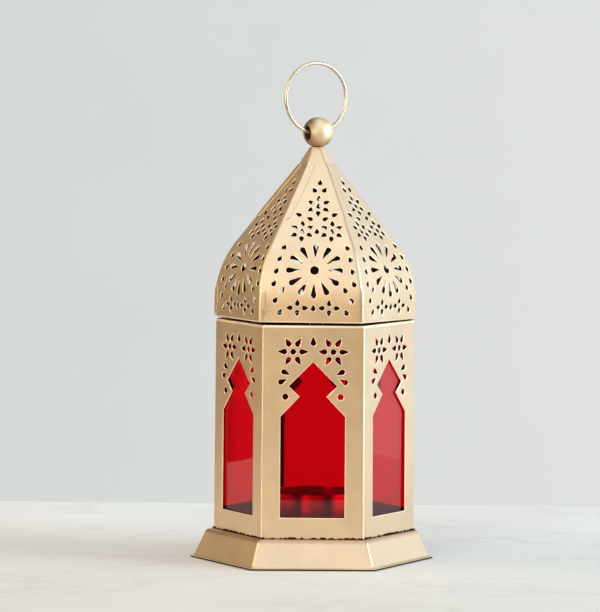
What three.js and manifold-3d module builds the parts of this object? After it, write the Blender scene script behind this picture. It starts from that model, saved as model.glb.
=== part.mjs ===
// A hexagonal candle lantern of pierced sheet metal with red glass, a domed lid on a hinge and a ring handle.
// Millimetres, +Z up. The origin is at the middle of the foot, on the table. The front panel faces -Y and two
// corners of the hexagon lie on the X axis.
import * as THREE from "three";
import { mergeGeometries, mergeVertices } from "three/addons/utils/BufferGeometryUtils.js";
import Module from "manifold-3d";

const wasm = await Module();
wasm.setup();

// The lantern has six sides, and every hexagonal piece repeats round the axis.
const SIDES = 6;
const SECTOR = (2 * Math.PI) / SIDES;
const HALF_TAN = Math.tan(SECTOR / 2);

// Sheet metal and clearances
const SHEET = 0.5;
const GAP = 0.3;
const LAP = 2.8; // solder lap that each sheet carries along one edge
const BEND = 0.9; // set-back of the rounded fold at a corner
const PUNCH_REACH = 1.6 * SHEET; // how far a punch reaches to each side of a sheet's outer face

// Body: an upright hexagonal tube of six panels
const BODY_CORNER = 45;
const BODY_FLAT = BODY_CORNER * Math.cos(SECTOR / 2);
const BODY_HEIGHT = 95.5;

// Base: a flared hexagonal skirt under the body
const BASE_HEIGHT = 13;
const BASE_SHEET = 0.8;
const LEDGE_WIDTH = 6; // how far the base's top runs in under the body
const LEDGE_MARGIN = 0.8; // how far it shows outside the body
const SHOULDER_RADIUS = 1.9;
const FOOT_SPREAD = 6.9; // from the body's face out to the skirt's lower edge
const LIP_WIDTH = 1.7;
const SHOULDER_ANGLES = [90, 60, 30];
const FLARE_OUT = 0.45; // the flare's middle control point, as shares of its run and its height
const FLARE_UP = 0.5;
const FLARE_FACETS = 4;

// Facets of the small round forms
const ROUND_CORNERS = 6;
const TURN_STEPS = 12;
const CUP_STEPS = 24;
const BALL_STEPS = 16;
const WIRE_SIDES = 6;

// A teardrop hole is widest this share of its length below its middle
const DROP_WAIST = 0.22;

// Window: a pointed arch with square ears, on 45 degree lines
const WINDOW_HALF = 14.3;
const SILL = 9.4; // from the panel's lower edge
const APEX_DROP = 16.6; // the drops are measured down from the panel's top edge
const EAR_DROP = 27.3;
const EAR_HALF = 10.6;
const NECK_DROP = 31.95;
const NECK_HALF = 5.8;
const SHOULDER_DROP = 41;

// Piercings above the window
const FLOWER_X = 8.95;
const FLOWER_DROP = 11.9;
const FLOWER_HOLE = 1.15;
const PETAL_RING = 4.8;
const PETAL_LENGTH = 3.9;
const PETAL_WIDTH = 2.2;
const TOP_DROP = 7.2;
const SIDE_DROP_LENGTH = 3.9;
const SIDE_DROP_WIDTH = 2.1;
const UPPER_SIDE = { u: 12.2, down: 21.3, tip: -153 };
const LOWER_SIDE = { u: 13.6, down: 25.1, tip: 153 };
const DOT = { u: 12.3, down: 32, radius: 1.25 };

// Glass panes and the tabs that hold them
const PANE = 2;
const PANE_INSET = 4.5; // from the panel's corner to the pane's edge
const PANE_HEADROOM = 2.8;
const TAB_HALF = 3;
const TAB_LENGTH = 4.5;

// Candle cup on the floor
const CUP_RADIUS = 20.25;
const CUP_HEIGHT = 16.2;
const CUP_FILLET = 1.2;

// Dome: six gores, upright at the rim, then an arc, then straight up to a small opening
const DOME_MARGIN = 0.78; // how far the rim stands outside the body's face
const RIM_HEIGHT = 7.7;
const ARC_RADIUS = 47.9;
const LEAN = THREE.MathUtils.degToRad(34.6);
const TOP_OPENING = 3.48; // from the axis to the gores' top edge
const ARC_FACETS = 5;
const HEM = 3;

// Piercings of a gore, measured up the sheet from the rim
const SMALL_LENGTH = 2.6;
const SMALL_WIDTH = 1.8;
const ROSETTE = { s: 23.75, hole: 1.85, inner: 6.2, outer: 12.6, width: 2.2, petals: 12 };
const CROWN = { s: 56.8, ring: 4.05 };
const TWIN = { u: 6.65, s: 43.4, ring: 4.1 };
const HEM_FLOWER = { u: 7.1, s: 6.75, across: 3.5, up: 2.3 };
const TOP_TRIO = { s: 69.3, below: 4, u: 2.3 };
const BESIDE_CROWN = { u: 8.7, s: 52.2 };
const UNDER_CROWN = { u: 3.5, s: 50 };
const COLUMN = { first: 17.6, pitch: 5.75, count: 4, inset: 4.6 };
const CORNER_HOLES = [
  { inset: 8.7, s: 14.85 },
  { inset: 6, s: 10.2 },
  { inset: 8.2, s: 4.9 },
];

// Finial: a hexagonal cap, a stud, and a turned ball with a cross bore for the ring
const CAP_BOTTOM_BELOW = 4.9; // from the gores' top edge down to the cap's rim
const CAP_TOP_ABOVE = 2.2; // and up to the ball's seat
const BALL_RADIUS = 6.9;
const BALL_ABOVE = 8.8; // from the gores' top edge up to the ball's middle
const BORE_RADIUS = 2.9;
const BORE_TURN = THREE.MathUtils.degToRad(31);
const STUD_RADIUS = 1.2;
const STUD_HEAD = 5;
const STUD_HEAD_THICK = 1.4;
const STUD_IN_BALL = 2.4;

// Ring handle, which stands upright through the ball
const RING_RADIUS = 15.75;
const WIRE_RADIUS = 0.8;
const RING_STEPS = 32;

// Hinge at the back
const LEAF = 0.8;
const LEAF_HALF = 6;
const LOWER_LEAF = 9;
const UPPER_LEAF = 6.4;
const BARREL_RADIUS = 1.6;
const PIN_RADIUS = 0.8;
const PIN_HEAD = 1.3;
const KNUCKLE = 5; // length of the middle knuckle

// Levels and depths that follow
const BODY_BOTTOM = BASE_HEIGHT + GAP;
const BODY_TOP = BODY_BOTTOM + BODY_HEIGHT;
const FLOOR_TOP = BODY_BOTTOM + BASE_SHEET;
const TAB_DEPTH = SHEET + GAP + PANE + GAP; // from the panel's outer face in to the tabs
const DOME_RIM = BODY_TOP + GAP;
const DOME_FLAT = BODY_FLAT + DOME_MARGIN;
const ARC_LENGTH = ARC_RADIUS * LEAN;
const ARC_DEPTH = ARC_RADIUS * (1 - Math.cos(LEAN));
const STRAIGHT = (DOME_FLAT - ARC_DEPTH - TOP_OPENING) / Math.sin(LEAN);
const GORE_LENGTH = RIM_HEIGHT + ARC_LENGTH + STRAIGHT;
const HINGE_Y = DOME_FLAT + GAP + BARREL_RADIUS;
const HINGE_Z = BODY_TOP + GAP / 2;

// Finishes
const gold = new THREE.MeshStandardMaterial({ color: 0xd9b780, roughness: 0.42, metalness: 0.75 });
const redGlass = new THREE.MeshStandardMaterial({ color: 0xb40010, roughness: 0.06, metalness: 0 });
const plated = new THREE.MeshStandardMaterial({ color: 0xb9b3a8, roughness: 0.3, metalness: 0.95 });

// A closed three.js geometry as a solid that can be cut and joined.
function toSolid(geometry) {
  const bare = geometry.clone();
  bare.deleteAttribute("normal");
  bare.deleteAttribute("uv");
  const merged = mergeVertices(bare, 1e-4);
  return new wasm.Manifold(
    new wasm.Mesh({
      numProp: 3,
      vertProperties: merged.attributes.position.array,
      triVerts: new Uint32Array(merged.index.array),
    }),
  );
}

// Several closed geometries that don't touch, as one cutter.
function cutters(geometries) {
  return toSolid(mergeGeometries(geometries.map((g) => (g.index ? g.toNonIndexed() : g))));
}

function toMesh(name, shape, finish) {
  const cut = shape.getMesh();
  const geometry = new THREE.BufferGeometry();
  geometry.setAttribute("position", new THREE.BufferAttribute(cut.vertProperties, 3));
  geometry.setIndex(new THREE.BufferAttribute(cut.triVerts, 1));
  const mesh = new THREE.Mesh(geometry, finish);
  mesh.name = name;
  return mesh;
}

function outline(points) {
  return new THREE.Shape(points.map(([x, y]) => new THREE.Vector2(x, y)));
}

// A plan outline raised from one level to another.
function raise(shape, bottom, top) {
  const geometry = new THREE.ExtrudeGeometry(shape, {
    depth: top - bottom,
    bevelEnabled: false,
  });
  return geometry.translate(0, 0, bottom);
}

function box(x0, x1, y0, y1, z0, z1) {
  const geometry = new THREE.BoxGeometry(x1 - x0, y1 - y0, z1 - z0);
  return geometry.translate((x0 + x1) / 2, (y0 + y1) / 2, (z0 + z1) / 2);
}

// A profile of distances and heights turned about +Z. With six steps the distances are to the flats.
function turn(profile, steps) {
  const scale = steps === SIDES ? 1 / Math.cos(SECTOR / 2) : 1;
  const points = profile.map(([r, z]) => new THREE.Vector2(r * scale, z));
  points.push(points[0].clone());
  const start = steps === SIDES ? SECTOR / 2 : 0;
  return new THREE.LatheGeometry(points, steps, start, 2 * Math.PI).rotateX(Math.PI / 2);
}

// The closed profile of a bent sheet: an open line and the same line moved to its right by the thickness.
function sheetProfile(line, thickness) {
  const right = line.map((point, i) => {
    const before = line[Math.max(i - 1, 0)];
    const after = line[Math.min(i + 1, line.length - 1)];
    const a = new THREE.Vector2(point[0] - before[0], point[1] - before[1]);
    const b = new THREE.Vector2(after[0] - point[0], after[1] - point[1]);
    if (a.length() === 0) a.copy(b);
    if (b.length() === 0) b.copy(a);
    a.normalize();
    b.normalize();
    const normal = new THREE.Vector2(a.y + b.y, -a.x - b.x).normalize();
    const stretch = thickness / (normal.x * a.y - normal.y * a.x);
    return [point[0] + normal.x * stretch, point[1] + normal.y * stretch];
  });
  return [...right, ...[...line].reverse()];
}

// A station on a side's outer face: its distance from the axis, its height and its lean from upright.
const bodyStation = (z) => ({ flat: BODY_FLAT, z, lean: 0 });

function goreStation(s) {
  const lean = THREE.MathUtils.clamp((s - RIM_HEIGHT) / ARC_RADIUS, 0, LEAN);
  const past = Math.max(s - RIM_HEIGHT - ARC_LENGTH, 0);
  const upright = Math.min(s, RIM_HEIGHT);
  return {
    flat: DOME_FLAT - ARC_RADIUS * (1 - Math.cos(lean)) - past * Math.sin(LEAN),
    z: DOME_RIM + upright + ARC_RADIUS * Math.sin(lean) + past * Math.cos(LEAN),
    lean,
  };
}

// How far along x a sheet at one depth meets the next side's sheet at another. Depths count outwards.
function ridgeX(station, depth, nextDepth) {
  const c = Math.cos(station.lean);
  const facing = c * c * Math.cos(SECTOR) + 1 - c * c;
  return station.flat * HALF_TAN + (nextDepth - depth * facing) / (c * Math.sin(SECTOR));
}

// A point on the front side, or on the next side round when next is set.
function sidePoint(station, x, depth, next) {
  const flat = station.flat + depth * Math.cos(station.lean);
  const point = new THREE.Vector3(x, -flat, station.z + depth * Math.sin(station.lean));
  if (next) point.applyAxisAngle(new THREE.Vector3(0, 0, 1), SECTOR);
  return point;
}

// The section of one side's sheet: its left edge, its rounded fold at the right corner, and the solder lap.
// lap is the lap's inner depth on the next side; leftLimit is the depth of the side before that it stops at.
function foldedSection(station, lap, leftLimit) {
  const lapOut = lap + SHEET;
  const outFold = ridgeX(station, 0, lapOut);
  const outFoldNext = ridgeX(station, lapOut, 0);
  const inFold = ridgeX(station, -SHEET, lap);
  const inFoldNext = ridgeX(station, lap, -SHEET);
  const lapEnd = ridgeX(station, 0, 0) - LAP;
  const tight = BEND / 2;
  return [
    sidePoint(station, -ridgeX(station, 0, leftLimit), 0),
    sidePoint(station, outFold - BEND, 0),
    sidePoint(station, -outFoldNext + BEND, lapOut, true),
    sidePoint(station, -lapEnd, lapOut, true),
    sidePoint(station, -lapEnd, lap, true),
    sidePoint(station, -inFoldNext + tight, lap, true),
    sidePoint(station, inFold - tight, -SHEET),
    sidePoint(station, -ridgeX(station, -SHEET, leftLimit), -SHEET),
  ];
}

// A closed skin over sections that have the same number of points, listed from the bottom up.
function loft(sections) {
  const count = sections[0].length;
  const positions = [];
  const face = (a, b, c) => positions.push(...a.toArray(), ...b.toArray(), ...c.toArray());
  for (let i = 0; i + 1 < sections.length; i += 1) {
    for (let j = 0; j < count; j += 1) {
      const k = (j + 1) % count;
      face(sections[i][j], sections[i][k], sections[i + 1][k]);
      face(sections[i][j], sections[i + 1][k], sections[i + 1][j]);
    }
  }
  const flat = sections[0].map((p) => new THREE.Vector2(p.x, p.y));
  const last = sections[sections.length - 1];
  for (const [a, b, c] of THREE.ShapeUtils.triangulateShape(flat, [])) {
    face(sections[0][a], sections[0][c], sections[0][b]);
    face(last[a], last[b], last[c]);
  }
  const geometry = new THREE.BufferGeometry();
  geometry.setAttribute("position", new THREE.Float32BufferAttribute(positions, 3));
  return geometry;
}

// A level lip turned inwards from a side's edge, mitred to clear the lips on both sides of it.
function lip(station, depth, leftLimit, bottom, top) {
  const near = -SHEET / 2;
  const half = (d) => ridgeX(station, d, d) - GAP;
  const left = (d) => Math.min(half(d), ridgeX(station, d, leftLimit));
  const plan = [
    [-left(near), -station.flat - near],
    [half(near), -station.flat - near],
    [half(-depth), -station.flat + depth],
    [-left(-depth), -station.flat + depth],
  ];
  return toSolid(raise(outline(plan), bottom, top));
}

// Hole outlines. A teardrop points towards +y and has its middle at the origin; four corners hold its shape.
function teardrop(length, width) {
  const end = length / 2;
  const low = -DROP_WAIST * length;
  return outline([
    [0, end],
    [-width / 2, low],
    [0, -end],
    [width / 2, low],
  ]);
}

function round(radius) {
  const corners = Array.from({ length: ROUND_CORNERS }, (_, i) => {
    const angle = (i * 2 * Math.PI) / ROUND_CORNERS;
    return [radius * Math.cos(angle), radius * Math.sin(angle)];
  });
  return outline(corners);
}

// Holes are given by their place on the sheet, their outline and the way their point faces, in degrees from +u.
const hole = (u, s, shape, tip = 90) => ({ u, s, shape, tip });
const pair = (u, s, shape, tip = 90) => [hole(u, s, shape, tip), hole(-u, s, shape, 180 - tip)];

function petals(u, s, ring, count, shape, first, inward) {
  return Array.from({ length: count }, (_, i) => {
    const angle = first + (i * 360) / count;
    const way = THREE.MathUtils.degToRad(angle);
    const tip = inward ? angle + 180 : angle;
    return hole(u + ring * Math.cos(way), s + ring * Math.sin(way), shape, tip);
  });
}

// A hole's cutter, driven through the sheet along the station's normal.
function punch({ u, s, shape, tip }, stationAt) {
  const station = stationAt(s);
  const along = new THREE.Vector3(0, Math.sin(station.lean), Math.cos(station.lean));
  const out = new THREE.Vector3(0, -Math.cos(station.lean), Math.sin(station.lean));
  const frame = new THREE.Matrix4().makeBasis(new THREE.Vector3(1, 0, 0), along, out);
  frame.setPosition(sidePoint(station, u, 0));
  const cutter = new THREE.ExtrudeGeometry(shape, {
    depth: 2 * PUNCH_REACH,
    bevelEnabled: false,
  });
  cutter.translate(0, 0, -PUNCH_REACH);
  cutter.rotateZ(THREE.MathUtils.degToRad(tip - 90));
  return cutter.applyMatrix4(frame);
}

function windowShape() {
  const right = [
    [WINDOW_HALF, BODY_BOTTOM + SILL],
    [WINDOW_HALF, BODY_TOP - SHOULDER_DROP],
    [NECK_HALF, BODY_TOP - NECK_DROP],
    [EAR_HALF, BODY_TOP - EAR_DROP],
  ];
  const left = right.map(([x, z]) => [-x, z]).reverse();
  return outline([...right, [0, BODY_TOP - APEX_DROP], ...left]);
}

function panelHoles() {
  const petal = teardrop(PETAL_LENGTH, PETAL_WIDTH);
  const side = teardrop(SIDE_DROP_LENGTH, SIDE_DROP_WIDTH);
  const flowerZ = BODY_TOP - FLOWER_DROP;
  return [
    hole(0, 0, windowShape()),
    ...[-FLOWER_X, FLOWER_X].flatMap((u) => [
      hole(u, flowerZ, round(FLOWER_HOLE)),
      ...petals(u, flowerZ, PETAL_RING, 6, petal, 0),
    ]),
    hole(0, BODY_TOP - TOP_DROP, petal),
    ...pair(UPPER_SIDE.u, BODY_TOP - UPPER_SIDE.down, side, UPPER_SIDE.tip),
    ...pair(LOWER_SIDE.u, BODY_TOP - LOWER_SIDE.down, side, LOWER_SIDE.tip),
    ...pair(DOT.u, BODY_TOP - DOT.down, round(DOT.radius)),
  ];
}

// A body panel: sheet with a solder lap behind the next panel, a lip along the top, and a tab behind the glass.
function sidePanel() {
  const lap = -2 * SHEET - GAP;
  const bottom = bodyStation(BODY_BOTTOM);
  const top = bodyStation(BODY_TOP);
  const sheet = toSolid(loft([bottom, top].map((station) => foldedSection(station, lap, 0))));
  const inside = -BODY_FLAT + SHEET;
  const lapTrim = box(0, BODY_CORNER, inside, 0, BODY_TOP - SHEET - GAP, BODY_TOP + GAP);
  const tabFace = -BODY_FLAT + TAB_DEPTH;
  const tabFoot = BODY_TOP - PANE_HEADROOM - TAB_LENGTH;
  const tab = box(-TAB_HALF, TAB_HALF, tabFace, tabFace + SHEET, tabFoot, BODY_TOP);
  return sheet
    .subtract(toSolid(lapTrim))
    .add(lip(top, TAB_DEPTH + SHEET, 0, BODY_TOP - SHEET, BODY_TOP))
    .add(toSolid(tab))
    .subtract(cutters(panelHoles().map((h) => punch(h, bodyStation))));
}

function goreHoles() {
  const r = ROSETTE;
  const ray = teardrop(r.outer - r.inner, r.width);
  const dot = teardrop(SMALL_LENGTH, SMALL_WIDTH);
  const edge = (inset, s) => goreStation(s).flat * HALF_TAN - inset;
  const column = Array.from({ length: COLUMN.count }, (_, i) => COLUMN.first + i * COLUMN.pitch);
  const hem = HEM_FLOWER;
  return [
    hole(0, TOP_TRIO.s, dot),
    ...pair(TOP_TRIO.u, TOP_TRIO.s - TOP_TRIO.below, dot, 60),
    hole(0, CROWN.s, dot),
    ...petals(0, CROWN.s, CROWN.ring, 6, dot, 30),
    ...pair(BESIDE_CROWN.u, BESIDE_CROWN.s, dot, 30),
    ...pair(UNDER_CROWN.u, UNDER_CROWN.s, dot, 30),
    ...[-TWIN.u, TWIN.u].flatMap((u) => [
      hole(u, TWIN.s, dot),
      ...petals(u, TWIN.s, TWIN.ring, 6, dot, 30),
    ]),
    hole(0, TWIN.s, dot),
    hole(0, r.s, round(r.hole)),
    ...petals(0, r.s, (r.inner + r.outer) / 2, r.petals, ray, 0, true),
    ...column.flatMap((s) => pair(edge(COLUMN.inset, s), s, dot, 120)),
    ...CORNER_HOLES.flatMap(({ inset, s }) => pair(edge(inset, s), s, dot, 120)),
    ...[-hem.u, hem.u].flatMap((u) => [
      hole(u, hem.s + hem.up, dot, 90),
      hole(u, hem.s - hem.up, dot, -90),
      hole(u - hem.across, hem.s, dot, 180),
      hole(u + hem.across, hem.s, dot, 0),
    ]),
    hole(0, hem.s, dot),
  ];
}

// A gore of the dome: upright hem, arc and straight, with a solder lap over the next gore. The lap ends under the
// cap's rim, and a lip turns in along the bottom edge.
function gore() {
  const leftLimit = -SHEET - GAP;
  const stops = [0, RIM_HEIGHT];
  for (let i = 1; i <= ARC_FACETS; i += 1) stops.push(RIM_HEIGHT + (i * ARC_LENGTH) / ARC_FACETS);
  stops.push(GORE_LENGTH);
  const stations = stops.map(goreStation);
  const sheet = toSolid(loft(stations.map((station) => foldedSection(station, GAP, leftLimit))));
  const lapTop = goreStation(GORE_LENGTH).z - CAP_BOTTOM_BELOW - GAP;
  const beyond = box(-GAP / 2, DOME_FLAT, -DOME_FLAT, DOME_FLAT, lapTop, lapTop + STRAIGHT);
  return sheet
    .subtract(toSolid(beyond.rotateZ(SECTOR / 2)))
    .add(lip(stations[0], HEM, leftLimit, DOME_RIM, DOME_RIM + SHEET))
    .subtract(cutters(goreHoles().map((h) => punch(h, goreStation))));
}

function baseSkirt() {
  const ledge = BODY_FLAT - LEDGE_WIDTH;
  const brow = BODY_FLAT + LEDGE_MARGIN;
  const foot = BODY_FLAT + FOOT_SPREAD;
  const line = [[ledge, BASE_HEIGHT]];
  for (const angle of SHOULDER_ANGLES) {
    const way = THREE.MathUtils.degToRad(angle);
    line.push([
      brow + SHOULDER_RADIUS * Math.cos(way),
      BASE_HEIGHT - SHOULDER_RADIUS * (1 - Math.sin(way)),
    ]);
  }
  const [startX, startZ] = line[line.length - 1];
  const flare = new THREE.QuadraticBezierCurve(
    new THREE.Vector2(startX, startZ),
    new THREE.Vector2(startX + FLARE_OUT * (foot - startX), FLARE_UP * startZ),
    new THREE.Vector2(foot, BASE_SHEET),
  );
  for (const point of flare.getPoints(FLARE_FACETS).slice(1)) line.push([point.x, point.y]);
  line.push([foot + LIP_WIDTH, BASE_SHEET]);
  return toSolid(turn(sheetProfile(line, BASE_SHEET), SIDES));
}

// The floor stands inside the body on the base's ledge. Its tabs are lanced up behind the panes.
function floorPlate() {
  const flat = BODY_FLAT - 2 * SHEET - 2 * GAP;
  const plate = turn(
    [
      [0, FLOOR_TOP],
      [0, BODY_BOTTOM],
      [flat, BODY_BOTTOM],
      [flat, FLOOR_TOP],
    ],
    SIDES,
  );
  const tabFace = -BODY_FLAT + TAB_DEPTH;
  const tabs = [];
  const slots = [];
  for (let side = 0; side < SIDES; side += 1) {
    const tabBack = tabFace + SHEET;
    const slotEnd = tabBack + TAB_LENGTH;
    const tab = box(-TAB_HALF, TAB_HALF, tabFace, tabBack, BODY_BOTTOM, FLOOR_TOP + TAB_LENGTH);
    const slot = box(-TAB_HALF, TAB_HALF, tabBack, slotEnd, BODY_BOTTOM - GAP, FLOOR_TOP + GAP);
    tabs.push(tab.rotateZ(side * SECTOR));
    slots.push(slot.rotateZ(side * SECTOR));
  }
  return toSolid(plate).subtract(cutters(slots)).add(cutters(tabs));
}

function pane() {
  const half = BODY_FLAT * HALF_TAN - PANE_INSET;
  const face = -BODY_FLAT + SHEET + GAP;
  return toSolid(box(-half, half, face, face + PANE, FLOOR_TOP + GAP, BODY_TOP - PANE_HEADROOM));
}

function candleCup() {
  const bottom = FLOOR_TOP + GAP;
  const line = [
    [CUP_RADIUS, bottom + CUP_HEIGHT],
    [CUP_RADIUS, bottom + CUP_FILLET],
    [CUP_RADIUS - CUP_FILLET, bottom],
    [0, bottom],
  ];
  return toSolid(turn(sheetProfile(line, SHEET), CUP_STEPS));
}

// The cap follows the gores' straight part, and its top rim is the ball's seat.
function finialCap() {
  const top = goreStation(GORE_LENGTH);
  const slope = Math.tan(LEAN);
  const clear = (GAP + SHEET) / Math.cos(LEAN);
  const flatAt = (rise) => top.flat - rise * slope + clear;
  const line = [
    [flatAt(CAP_TOP_ABOVE), top.z + CAP_TOP_ABOVE],
    [flatAt(-CAP_BOTTOM_BELOW), top.z - CAP_BOTTOM_BELOW],
  ];
  return toSolid(turn(sheetProfile(line, SHEET), SIDES));
}

const BALL_Z = goreStation(GORE_LENGTH).z + BALL_ABOVE;

function crossBore() {
  const bore = new THREE.CylinderGeometry(BORE_RADIUS, BORE_RADIUS, 3 * BALL_RADIUS, TURN_STEPS);
  return bore.rotateZ(Math.PI / 2).rotateZ(BORE_TURN).translate(0, 0, BALL_Z);
}

function finialBall() {
  const ball = new THREE.SphereGeometry(BALL_RADIUS, BALL_STEPS, BALL_STEPS / 2);
  ball.rotateX(Math.PI / 2).translate(0, 0, BALL_Z);
  const radius = STUD_RADIUS + GAP;
  const depth = STUD_IN_BALL + GAP;
  const socket = new THREE.CylinderGeometry(radius, radius, 2 * depth, TURN_STEPS);
  socket.rotateX(Math.PI / 2).translate(0, 0, BALL_Z - BALL_RADIUS);
  return toSolid(ball).subtract(toSolid(crossBore())).subtract(toSolid(socket));
}

// The stud's head bears on the gores from inside the dome, and its shank goes up into the ball.
function finialStud() {
  const top = goreStation(GORE_LENGTH);
  const reach = STUD_HEAD + (SHEET + GAP) / Math.cos(LEAN);
  const headTop = top.z - (reach - top.flat) / Math.tan(LEAN);
  const profile = [
    [0, BALL_Z - BALL_RADIUS + STUD_IN_BALL],
    [0, headTop - STUD_HEAD_THICK],
    [STUD_HEAD, headTop - STUD_HEAD_THICK],
    [STUD_HEAD, headTop],
    [STUD_RADIUS, headTop],
    [STUD_RADIUS, BALL_Z - BALL_RADIUS + STUD_IN_BALL],
  ];
  return toSolid(turn(profile, TURN_STEPS));
}

function ringHandle() {
  const ring = new THREE.TorusGeometry(RING_RADIUS, WIRE_RADIUS, WIRE_SIDES, RING_STEPS);
  return toSolid(ring.rotateX(Math.PI / 2).rotateZ(BORE_TURN).translate(0, 0, BALL_Z + RING_RADIUS));
}

// A hinge knuckle and the web that joins it to its leaf, between two places along the pin.
function knuckle(x0, x1, webY, webZ) {
  const barrel = new THREE.CylinderGeometry(BARREL_RADIUS, BARREL_RADIUS, x1 - x0, TURN_STEPS);
  barrel.rotateZ(Math.PI / 2).translate((x0 + x1) / 2, HINGE_Y, HINGE_Z);
  const web = box(x0, x1, webY, HINGE_Y, webZ, webZ + LEAF);
  return toSolid(barrel).add(toSolid(web));
}

function pinBore() {
  const bore = new THREE.CylinderGeometry(PIN_RADIUS + GAP, PIN_RADIUS + GAP, 4 * LEAF_HALF, TURN_STEPS);
  return toSolid(bore.rotateZ(Math.PI / 2).translate(0, HINGE_Y, HINGE_Z));
}

function lowerLeaf() {
  const face = BODY_FLAT + GAP;
  const webZ = HINGE_Z - BARREL_RADIUS;
  const plate = box(-LEAF_HALF, LEAF_HALF, face, face + LEAF, webZ + LEAF - LOWER_LEAF, webZ + LEAF);
  const inner = KNUCKLE / 2 + GAP;
  return toSolid(plate)
    .add(knuckle(-LEAF_HALF, -inner, face, webZ))
    .add(knuckle(inner, LEAF_HALF, face, webZ))
    .subtract(pinBore());
}

function upperLeaf() {
  const face = DOME_FLAT + GAP;
  const webZ = HINGE_Z + BARREL_RADIUS - LEAF;
  const foot = HINGE_Z + BARREL_RADIUS + GAP;
  const plate = box(-LEAF_HALF, LEAF_HALF, face, face + LEAF, foot, foot + UPPER_LEAF - BARREL_RADIUS);
  const stem = box(-KNUCKLE / 2, KNUCKLE / 2, face, face + LEAF, webZ, foot + LEAF);
  return toSolid(plate)
    .add(toSolid(stem))
    .add(knuckle(-KNUCKLE / 2, KNUCKLE / 2, face, webZ))
    .subtract(pinBore());
}

function hingePin() {
  const end = LEAF_HALF + GAP;
  const profile = [
    [0, end + PIN_RADIUS],
    [0, -end - PIN_RADIUS],
    [PIN_HEAD, -end - PIN_RADIUS],
    [PIN_HEAD, -end],
    [PIN_RADIUS, -end],
    [PIN_RADIUS, end],
    [PIN_HEAD, end],
    [PIN_HEAD, end + PIN_RADIUS],
  ];
  return toSolid(turn(profile, TURN_STEPS).rotateY(Math.PI / 2).translate(0, HINGE_Y, HINGE_Z));
}

// The six sides, counted counter-clockwise from the front as seen from above.
const SIDE_NAMES = ["front", "front_right", "back_right", "back", "back_left", "front_left"];
const sideName = (side) => SIDE_NAMES[side] ?? "side_" + side;

const lantern = new THREE.Group();
const dome = new THREE.Group();
lantern.add(dome);
lantern.add(toMesh("base_skirt", baseSkirt(), gold));
lantern.add(toMesh("floor_plate", floorPlate(), gold));
lantern.add(toMesh("candle_cup", candleCup(), plated));

const panelSolid = sidePanel();
const paneSolid = pane();
const goreSolid = gore();
for (let side = 0; side < SIDES; side += 1) {
  const wall = new THREE.Group();
  wall.rotation.z = side * SECTOR;
  wall.add(toMesh("side_panel_" + sideName(side), panelSolid, gold));
  wall.add(toMesh("red_pane_" + sideName(side), paneSolid, redGlass));
  lantern.add(wall);
  const sector = new THREE.Group();
  sector.rotation.z = side * SECTOR;
  sector.add(toMesh("dome_gore_" + sideName(side), goreSolid, gold));
  dome.add(sector);
}

dome.add(toMesh("finial_cap", finialCap(), gold));
dome.add(toMesh("finial_stud", finialStud(), plated));
dome.add(toMesh("finial_ball", finialBall(), gold));
dome.add(toMesh("ring_handle", ringHandle(), gold));
lantern.add(toMesh("hinge_leaf_lower", lowerLeaf(), gold));
dome.add(toMesh("hinge_leaf_upper", upperLeaf(), gold));
lantern.add(toMesh("hinge_pin", hingePin(), plated));

export default lantern;
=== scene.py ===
# %% [markdown]
# # A pierced candle lantern with red glass
# The lantern is a hexagonal tube of gold painted sheet metal on a flared base. Red glass stands behind its arched
# windows, and a pierced dome of six gores is its lid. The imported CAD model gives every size. This script dresses it:
# each step makes one piece or one finish, in metres, in the CAD model's own frame.
# %% Load the frame
import math
import bmesh
import bpy
import mathutils
from mathutils import Matrix, Vector


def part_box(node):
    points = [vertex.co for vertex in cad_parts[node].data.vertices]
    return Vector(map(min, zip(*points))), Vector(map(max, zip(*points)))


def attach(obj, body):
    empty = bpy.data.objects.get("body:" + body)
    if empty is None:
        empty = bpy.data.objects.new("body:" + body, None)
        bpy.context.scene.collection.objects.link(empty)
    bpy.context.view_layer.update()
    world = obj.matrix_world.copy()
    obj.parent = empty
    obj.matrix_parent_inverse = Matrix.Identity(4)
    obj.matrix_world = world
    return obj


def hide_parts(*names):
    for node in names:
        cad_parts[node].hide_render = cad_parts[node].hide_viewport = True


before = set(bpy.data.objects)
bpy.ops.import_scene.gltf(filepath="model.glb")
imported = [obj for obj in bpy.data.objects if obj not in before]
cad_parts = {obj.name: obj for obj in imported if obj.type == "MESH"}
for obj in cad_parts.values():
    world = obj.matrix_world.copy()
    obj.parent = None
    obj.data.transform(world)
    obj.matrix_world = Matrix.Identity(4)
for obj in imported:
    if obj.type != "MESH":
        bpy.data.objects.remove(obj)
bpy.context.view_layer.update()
MM = 0.001
SIDES = ["front", "front_right", "back_right", "back", "back_left", "front_left"]
TURN = math.radians(60)
HALF_TAN = math.tan(TURN / 2)
QUARTER = math.pi / 2
WELD = 1e-7


def add_object(name, data):
    made = bpy.data.objects.new(name, data)
    bpy.context.scene.collection.objects.link(made)
    return made


# %% [markdown]
# ## The camera
# The lantern was seen from two metres away with a long lens, a little from above. A long lens keeps the upright
# edges nearly parallel. The camera's axes are worked out from its heading, its tilt and its small roll, so that the
# picture is framed as it should be with no lens shift.
# %% Camera
DISTANCE, HEADING, HEIGHT = 2.0, math.radians(1.05), 0.2572
TILT, ROLL, YAW, LENS = math.radians(4.08), math.radians(0.39), math.radians(-0.198), 260.16

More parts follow.
